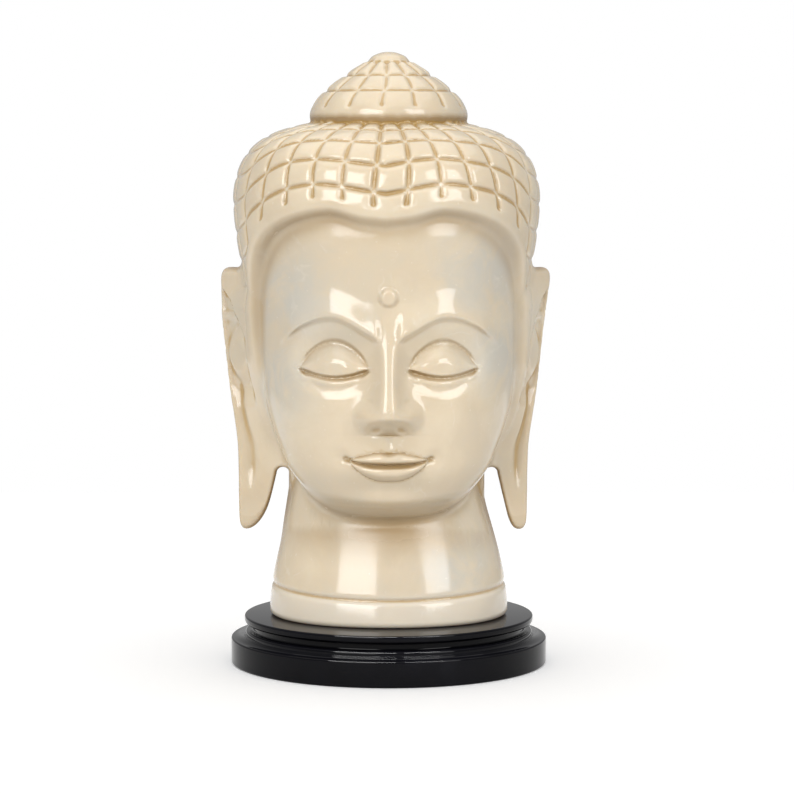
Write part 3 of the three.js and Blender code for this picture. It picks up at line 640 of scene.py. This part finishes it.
ear_fold = curve((0, 54), (0.15, 56.2), (0.33, 59.3), (0.43, 61.2), (0.56, 62.6), (0.66, 64.6),
                 (0.83, 66.6), (1, 68))


def ear_relief(from_edge, width, z):
    """Rim, folded top with a hollow under it, a leaf between two hollows, and a valley down the lobe."""
    along = np.clip(1 - from_edge / width, 0, 1)
    in_ear = smoothstep(z, ear_foot, ear_middle)
    rim = bell(np.maximum(from_edge - 0.4, 0), 0.8)
    strip = 1 - smoothstep(along, 0.18, 0.32)
    fold = 1 - (1 - smoothstep(z - ear_fold(along), -0.4, 1)) * (1 - strip)
    inside = (1 - rim) * (1 - fold)
    relief = 1 - inside
    relief += 0.5 * inside * bell(z - fold_shadow_height, 0.8)
    leaf = ((along - 0.55) / 0.4) ** 2 + np.abs((z - leaf_height) / leaf_half_height) ** 1.5
    relief += leaf_relief * inside * (1 - smoothstep(leaf, 0.35, 1.1))
    relief += lobe_relief * inside * (1 - in_ear)
    valley = smoothstep(z, 24, 32) * (1 - smoothstep(z, 46, 50))
    relief -= (1 - rim) * valley_depth * valley * bell(along - 0.73, 0.1)
    return ear_relief_depth * (relief - 0.6)


def ear_form(across, y, z):
    """Both ears: a plate that leans out of the head, its outer face in relief, with a gap beside the lobe."""
    x = np.abs(across)
    root_x = ear_root(z)
    root_y = ear_root_back(z)
    spread = np.where(across < 0, ear_spread_left, ear_spread_right)
    spread = spread * (1 - ear_spread_loss * smoothstep(z, 60, 72))
    run_x = ear_edge(z) + spread - root_x
    run_y = ear_edge_back(z) - root_y
    width = np.hypot(run_x, run_y)
    along = ((x - root_x) * run_x + (y - root_y) * run_y) / width
    out = ((x - root_x) * run_y - (y - root_y) * run_x) / width
    plate = np.abs(out) - ear_thickness / 2 - np.where(out > 0, ear_relief(width - along, width, z), 0)
    edges = blend_intersection(np.abs(along - width / 2) - width / 2, z - ear_top, ear_corner_radius)
    tip_slant = lobe_tip_slope * (x - spread - lobe_tip_across)
    tip = (lobe_tip_height - z - tip_slant) / math.hypot(1, lobe_tip_slope)
    outline = blend_intersection(edges, ear_bottom - z, lobe_rounding)
    outline = blend_intersection(outline, tip, lobe_rounding)
    ear = blend_intersection(plate, outline, ear_rounding)
    down = np.clip((lobe_gap_top - z) / lobe_gap_length, 0, 1)
    from_gap_x = x - lobe_gap_centre - np.minimum(spread, 0) - lobe_gap_drift * down
    from_gap_z = np.maximum(z - lobe_gap_top, 0)
    gap = np.hypot(from_gap_x, from_gap_z) - lobe_gap / 2 - lobe_gap_flare * down
    return blend_intersection(ear, -gap, lobe_gap_rounding)


# The joins between the parts, from the jaw's close one to the soft one beside the cheeks
jaw_join = 1.8
ear_join = 1.4
cheek_join = 3.4


def head_form(x, y, z):
    """The whole head, positive outside the stone."""
    body = blend_union(face_form(x, y, z), neck_form(x, y, z), jaw_join)
    haired = blend_union(body, hair_form(x, y, z), hairline_hollow)
    crowned = blend_union(haired, crown_form(x, y, z), crown_undercut)
    beside_face = smoothstep(z, 44, 53) * (1 - smoothstep(z, 64, 70))
    whole = blend_union(crowned, ear_form(x, y, z), ear_join + cheek_join * beside_face)
    return np.maximum(whole, -z)


net_low = np.array([-37.0, -36.0, -1.5])
net_high = np.array([37.0, 36.0, crown_base + 16])
net_block = 4
near_blocks = 1.8
net_batches = 12


def net_over_form(step):
    """Quads over the form's surface: the form is read in coarse blocks, then closely near the surface."""
    stride = net_block * step
    blocks = np.ceil((net_high - net_low) / stride).astype(int)
    middles = [net_low[i] + (np.arange(blocks[i]) + 0.5 - 0.5 / net_block) * stride for i in range(3)]
    coarse = head_form(*[part.ravel() for part in np.meshgrid(*middles, indexing="ij")]).reshape(blocks)
    fine = coarse.repeat(net_block, 0).repeat(net_block, 1).repeat(net_block, 2)
    near = np.argwhere(np.abs(fine) < near_blocks * stride)
    values = [head_form(*(net_low + part * step).T) for part in np.array_split(near, net_batches)]
    fine[tuple(near.T)] = np.concatenate(values)
    grid = openvdb.FloatGrid(background=float(4 * step))
    grid.copyFromArray(fine.astype(np.float32))
    points, quads = grid.convertToQuads(isovalue=0.0)
    return net_low + points * step, quads


def slope_of(points, reach):
    """The form's value at points, and its slope there."""
    value = head_form(*points.T)
    slope = np.empty_like(points)
    for axis in range(3):
        beyond = points.copy()
        beyond[:, axis] += reach
        slope[:, axis] = (head_form(*beyond.T) - value) / reach
    return value, slope


settle_reach = 0.02
longest_stride = 0.2
least_slope_squared = 0.3


def settle(points, turns=3):
    """Moves points along the form's slope until they lie on its surface."""
    for turn in range(turns):
        value, slope = slope_of(points, settle_reach)
        stride = value / np.maximum((slope ** 2).sum(1), least_slope_squared)
        stride = np.clip(stride, -longest_stride, longest_stride)
        points = points - slope * stride[:, None]
    points[:, 2] = np.maximum(points[:, 2], 0)
    return points


def carved_mesh(name, step, triangles):
    """Mesh of the head, thinned to about a number of triangles."""
    points, quads = net_over_form(step)
    mesh = bpy.data.meshes.new(name)
    mesh.from_pydata(settle(points).tolist(), [], quads.tolist())
    draft = bpy.data.objects.new(name + "_draft", mesh)
    bpy.context.scene.collection.objects.link(draft)
    thin = draft.modifiers.new("thin", "DECIMATE")
    thin.ratio = min(1, triangles / (2 * len(quads)))
    carved = bpy.data.meshes.new_from_object(draft.evaluated_get(bpy.context.evaluated_depsgraph_get()))
    bpy.data.objects.remove(draft)
    carved.name = name
    return carved


def mesh_points(mesh):
    """A mesh's points as rows of coordinates."""
    points = np.empty(len(mesh.vertices) * 3)
    mesh.vertices.foreach_get("co", points)
    return points.reshape(-1, 3)


net_step = 0.38
head_triangles = 190000
normal_reach = 0.03
head_mesh = carved_mesh("carved_head", net_step, head_triangles)
surface_points = settle(mesh_points(head_mesh), 2)
value, slope = slope_of(surface_points, normal_reach)
normals = slope / np.linalg.norm(slope, axis=1)[:, None]
normals[surface_points[:, 2] < 0.01] = (0, 0, -1)

# How hollow the surface is, for the ochre brown in the cuts, and less so in the face: partly the dirt that
# gathers in the cuts, partly painted shade in the creases
hollow_reach = 0.7
less_in_face = 0.55
hollow = -6 * value
for axis in range(3):
    for way in (-hollow_reach, hollow_reach):
        beyond = surface_points.copy()
        beyond[:, axis] += way
        hollow = hollow + head_form(*beyond.T)
hollow = np.clip(0.5 - hollow / hollow_reach / 2, 0, 1)
across, depth, height = np.abs(surface_points[:, 0]), surface_points[:, 1], surface_points[:, 2]
in_face = ((1 - smoothstep(across, 19, 24)) * (1 - smoothstep(depth, -14, -6))
           * smoothstep(height, 18, 24) * (1 - smoothstep(height, 79, 83)))
hollow = 0.5 + (hollow - 0.5) * (1 - less_in_face * in_face)

# How deep the surface lies among its neighbours, from how soon a walk straight out of it meets stone again,
# for a painted shade of dark brown in the deep hollows, such as under the chin, and a duller polish there
walks_and_weights = ((2.5, 0.4), (6, 0.35), (12, 0.25))
sunk = np.zeros(len(surface_points))
for walk, weight in walks_and_weights:
    sunk += weight * (1 - np.clip(head_form(*(surface_points + normals * walk).T) / walk, 0, 1))

# How thin the stone is, for a painted glow on the lobes that stands in for light shining warmly through them
thin = smoothstep(across, 22, 25) * (1 - smoothstep(height, 38, 60))

# Where the block clouds to a bluish grey: (across, height, reach) of each patch on the front
grey_patches = ((-20, 67, 10), (19, 72, 11), (-24, 51, 9), (23, 56, 8), (14, 12, 9))
cloudy = np.zeros(len(surface_points))
for patch_across, patch_height, spread in grey_patches:
    from_patch = np.hypot(surface_points[:, 0] - patch_across, height - patch_height)
    cloudy = np.maximum(cloudy, bell(from_patch, spread) * (1 - smoothstep(depth, -8, 4))
                        * (1 - smoothstep(across, 25, 28)))

# How near the neck's foot is, which is painted a little paler below its incised line: painted light, for the
# light that the white sheet throws up onto it
pale = 1 - smoothstep(height, 5, 8)

for name, values in (("recess", hollow), ("sunk", sunk), ("cloudy", cloudy), ("thin", thin), ("pale", pale)):
    attribute = head_mesh.attributes.new(name, "FLOAT", "POINT")
    attribute.data.foreach_set("value", values.astype(np.float32))

unit = (head_high.z - head_low.z) / surface_points[:, 2].max()
place_of_head = np.array([0, 0, head_low.z])
head_mesh.vertices.foreach_set("co", (surface_points * unit + place_of_head).ravel())
head_mesh.shade_smooth()
head_mesh.normals_split_custom_set_from_vertices(normals.tolist())
head_mesh.update()
head = add_piece("carved_head", head_mesh, "buddha_head")

# Cream marble, hand-polished: waxy and a little translucent, with grey clouds and pale veins, ochre cuts that
# are partly dirt and partly painted shade, painted shade in deep hollows, and painted light on the neck's
# foot and the lobes
cream_stone = new_material("cream_marble_hand_polished")
place = add_node(cream_stone, "ShaderNodeTexCoord")
bend = 14 * mm
flow = add_node(cream_stone, "ShaderNodeTexNoise", inputs={"Scale": 1 / (16 * mm), "Detail": 3.0},
                links={"Vector": (place, "Object")})
bent = add_node(cream_stone, "ShaderNodeVectorMath", {"operation": "MULTIPLY_ADD"}, {1: (bend, bend, bend)},
                {0: (flow, "Color"), 2: (place, "Object")})
drift = add_node(cream_stone, "ShaderNodeTexNoise",
                 inputs={"Scale": 1 / (30 * mm), "Detail": 6.0, "Roughness": 0.6},
                 links={"Vector": (bent, "Vector")})
body_colour = add_node(cream_stone, "ShaderNodeValToRGB", links={"Fac": (drift, "Fac")},
                       stops=[(0.3, "#b9af9c"), (0.46, "#c0b199"), (0.58, "#c6b8a0"), (0.72, "#c8beac")])
mist = add_node(cream_stone, "ShaderNodeTexNoise",
                inputs={"Scale": 1 / (9 * mm), "Detail": 7.0, "Roughness": 0.65, "Distortion": 0.6},
                links={"Vector": (bent, "Vector")})
mist_amount = add_node(cream_stone, "ShaderNodeMapRange",
                       inputs={"From Min": 0.34, "From Max": 0.58, "To Max": 0.7},
                       links={"Value": (mist, "Fac")})
cloudy_value = add_node(cream_stone, "ShaderNodeAttribute", {"attribute_name": "cloudy"})
grey_amount = add_node(cream_stone, "ShaderNodeMath", {"operation": "MULTIPLY"},
                       links={0: (mist_amount, "Result"), 1: (cloudy_value, "Fac")})
greyed = add_node(cream_stone, "ShaderNodeMix", {"data_type": "RGBA"}, {"B": linear("#adaca6")},
                  {"Factor": (grey_amount, "Value"), "A": (body_colour, "Color")})
seam = add_node(cream_stone, "ShaderNodeTexNoise",
                inputs={"Scale": 1 / (22 * mm), "Detail": 4.0, "Roughness": 0.55},
                links={"Vector": (bent, "Vector")})
seam_line = add_node(cream_stone, "ShaderNodeValToRGB", links={"Fac": (seam, "Fac")},
                     stops=[(0.488, "#000000"), (0.5, "#ffffff"), (0.516, "#000000")])
seam_patches = add_node(cream_stone, "ShaderNodeMapRange",
                        inputs={"From Min": 0.54, "From Max": 0.66, "To Max": 0.3},
                        links={"Value": (mist, "Fac")})
seam_amount = add_node(cream_stone, "ShaderNodeMath", {"operation": "MULTIPLY"},
                       links={0: (seam_line, "Color"), 1: (seam_patches, "Result")})
veined = add_node(cream_stone, "ShaderNodeMix", {"data_type": "RGBA"}, {"B": linear("#d2ccbe")},
                  {"Factor": (seam_amount, "Value"), "A": (greyed, "Result")})
grain = add_node(cream_stone, "ShaderNodeTexVoronoi", inputs={"Scale": 1 / (2.4 * mm)},
                 links={"Vector": (bent, "Vector")})
fleck_amount = add_node(cream_stone, "ShaderNodeMapRange",
                        inputs={"From Min": 0.1, "From Max": 0.04, "To Max": 0.4},
                        links={"Value": (grain, "Distance")})
flecked = add_node(cream_stone, "ShaderNodeMix", {"data_type": "RGBA"}, {"B": linear("#cfc8b6")},
                   {"Factor": (fleck_amount, "Result"), "A": (veined, "Result")})
# Painted light: the neck's foot is made paler for the light thrown up from the white sheet
pale_value = add_node(cream_stone, "ShaderNodeAttribute", {"attribute_name": "pale"})
pale_amount = add_node(cream_stone, "ShaderNodeMapRange", inputs={"To Max": 0.5},
                       links={"Value": (pale_value, "Fac")})
painted_foot_light = add_node(cream_stone, "ShaderNodeMix", {"data_type": "RGBA"}, {"B": linear("#cbc4b8")},
                 {"Factor": (pale_amount, "Result"), "A": (flecked, "Result")})
# Painted shade: dark brown laid over the deep hollows, under the chin and between the parts
sunk_value = add_node(cream_stone, "ShaderNodeAttribute", {"attribute_name": "sunk"})
sunk_amount = add_node(cream_stone, "ShaderNodeMapRange",
                       inputs={"From Min": 0.1, "From Max": 0.6, "To Max": 0.8},
                       links={"Value": (sunk_value, "Fac")})
painted_hollow_shade = add_node(cream_stone, "ShaderNodeMix", {"data_type": "RGBA"}, {"B": linear("#8a6e42")},
                  {"Factor": (sunk_amount, "Result"), "A": (painted_foot_light, "Result")})
# Ochre in the cuts and creases: partly the dirt in them, partly painted shade
recess_value = add_node(cream_stone, "ShaderNodeAttribute", {"attribute_name": "recess"})
recess_amount = add_node(cream_stone, "ShaderNodeMapRange",
                         inputs={"From Min": 0.62, "From Max": 0.88, "To Max": 0.62},
                         links={"Value": (recess_value, "Fac")})
dirt_and_painted_shade_in_cuts = add_node(cream_stone, "ShaderNodeMix", {"data_type": "RGBA"}, {"B": linear("#a07c34")},
                {"Factor": (recess_amount, "Result"), "A": (painted_hollow_shade, "Result")})
# Painted light: a yellow glow on the thin lobes, for light shining through them
thin_value = add_node(cream_stone, "ShaderNodeAttribute", {"attribute_name": "thin"})
thin_amount = add_node(cream_stone, "ShaderNodeMapRange", inputs={"To Max": 0.06},
                       links={"Value": (thin_value, "Fac")})
painted_lobe_glow = add_node(cream_stone, "ShaderNodeMix", {"data_type": "RGBA"}, {"B": linear("#c8a468")},
                   {"Factor": (thin_amount, "Result"), "A": (dirt_and_painted_shade_in_cuts, "Result")})
rub = add_node(cream_stone, "ShaderNodeTexNoise", inputs={"Scale": 1 / (5 * mm), "Detail": 5.0},
               links={"Vector": (place, "Object")})
gloss = add_node(cream_stone, "ShaderNodeMapRange", inputs={"To Min": 0.07, "To Max": 0.17},
                 links={"Value": (rub, "Fac")})
dulled = add_node(cream_stone, "ShaderNodeMath", {"operation": "MULTIPLY_ADD"}, {1: 0.3},
                  {0: (sunk_amount, "Result"), 2: (gloss, "Result")})
ripple = add_node(cream_stone, "ShaderNodeBump", inputs={"Strength": 0.25, "Distance": 0.1 * mm},
                  links={"Height": (rub, "Fac")})
add_node(cream_stone, "ShaderNodeBsdfPrincipled",
         inputs={"IOR": 1.52, "Subsurface Weight": 0.3, "Subsurface Radius": (1.0, 0.7, 0.4),
                 "Subsurface Scale": 2.5 * mm},
         links={"Base Color": (painted_lobe_glow, "Result"), "Roughness": (dulled, "Value"),
                "Normal": (ripple, "Normal")})
finish_material(head, cream_stone)

# Floor: a plain white sheet of paper that shows the soft shadow at the plinth's foot.
# It glows a little, so that its far edge is lost in the white room.
sheet_half = 0.3
floor_mesh = bpy.data.meshes.new("white_floor")
sheet_corners = [(x * sheet_half, y * sheet_half, 0) for x, y in ((-1, -1), (1, -1), (1, 1), (-1, 1))]
floor_mesh.from_pydata(sheet_corners, [], [(0, 1, 2, 3)])
floor = bpy.data.objects.new("white_floor", floor_mesh)
bpy.context.scene.collection.objects.link(floor)
white_paper = new_material("white_paper")
place = add_node(white_paper, "ShaderNodeTexCoord")
fibre = add_node(white_paper, "ShaderNodeTexNoise", inputs={"Scale": 1 / (2 * mm), "Detail": 3.0},
                 links={"Vector": (place, "Object")})
paper_colour = add_node(white_paper, "ShaderNodeValToRGB", links={"Fac": (fibre, "Fac")},
                        stops=[(0.2, "#fafafa"), (0.8, "#fdfdfd")])
add_node(white_paper, "ShaderNodeBsdfPrincipled",
         inputs={"Roughness": 0.9, "Specular IOR Level": 0.1, "Emission Strength": 0.24},
         links={"Base Color": (paper_colour, "Color"), "Emission Color": (paper_colour, "Color")})
finish_material(floor, white_paper)

# Light: a white room that is dim on the side of the camera, a soft light from above, two large soft boxes
# in front, the left one stronger, and two thin strips that draw lines of light on the plinth's edges
world = bpy.data.worlds.new("white_room")
world.use_nodes = True
world.node_tree.nodes.clear()
toward = add_node(world, "ShaderNodeTexCoord")
parts = add_node(world, "ShaderNodeSeparateXYZ", links={"Vector": (toward, "Generated")})
room = add_node(world, "ShaderNodeMapRange",
                inputs={"From Min": -0.6, "From Max": 0.5, "To Min": 0.36, "To Max": 0.5},
                links={"Value": (parts, "Y")})
path = add_node(world, "ShaderNodeLightPath")
seen = add_node(world, "ShaderNodeMix", inputs={"B": 1.0},
                links={"Factor": (path, "Is Camera Ray"), "A": (room, "Result")})
backdrop = add_node(world, "ShaderNodeBackground", inputs={"Color": (1, 1, 1, 1)},
                    links={"Strength": (seen, "Result")})
add_node(world, "ShaderNodeOutputWorld", links={"Surface": (backdrop, "Background")})
bpy.context.scene.world = world
bpy.context.scene.view_settings.view_transform = "Standard"
overhead = bpy.data.lights.new("overhead", "SUN")
overhead.energy = 1.35
overhead.angle = math.radians(80)
overhead_lamp = bpy.data.objects.new("overhead", overhead)
bpy.context.scene.collection.objects.link(overhead_lamp)
softbox_target = Vector((0, 0, 0.07))
softbox_distance = 0.9


def add_softbox(name, azimuth, elevation, size, watts, lit_pieces):
    """Area light that faces the middle of the head and lights only the pieces named."""
    turn = math.radians(azimuth)
    lift = math.radians(elevation)
    away = Vector((math.sin(turn) * math.cos(lift), -math.cos(turn) * math.cos(lift), math.sin(lift)))
    light = bpy.data.lights.new(name, "AREA")
    light.shape = "RECTANGLE"
    light.size, light.size_y = size
    light.energy = watts
    lamp = bpy.data.objects.new(name, light)
    lamp.location = softbox_target + away * softbox_distance
    lamp.rotation_euler = away.to_track_quat("Z", "Y").to_euler()
    lit = bpy.data.collections.new(name + "_lights")
    for piece in lit_pieces:
        lit.objects.link(piece)
    lamp.light_linking.receiver_collection = lit
    bpy.context.scene.collection.objects.link(lamp)


add_softbox("left_softbox", -26, 23, (0.52, 0.56), 6.4, (plinth, head))
add_softbox("right_softbox", 41, 23, (0.38, 0.56), 3.8, (plinth, head))
add_softbox("left_strip", -24, 50, (0.7, 0.05), 22, (plinth,))
add_softbox("right_strip", 34, 50, (0.4, 0.05), 10, (plinth,))

# Camera: level with the hair and tilted a little down, with a long lens.
# Its distance, tilt and focal length give the plinth's rounds and the head's outline of the real view.
image_width = 794
camera_distance = 0.6
camera_height = 0.1059
camera_pitch = math.radians(4.81)
focal_pixels = 2888
right_shift_pixels = 8.3
camera_data = bpy.data.cameras.new("camera")
camera_data.sensor_width = 36
camera_data.lens = focal_pixels / image_width * camera_data.sensor_width
camera_data.shift_x = right_shift_pixels / image_width
camera_data.clip_start = 0.01
camera = bpy.data.objects.new("camera", camera_data)
camera.location = (0, -camera_distance, camera_height)
camera.rotation_euler = (math.pi / 2 - camera_pitch, 0, 0)
bpy.context.scene.collection.objects.link(camera)
bpy.context.scene.camera = camera
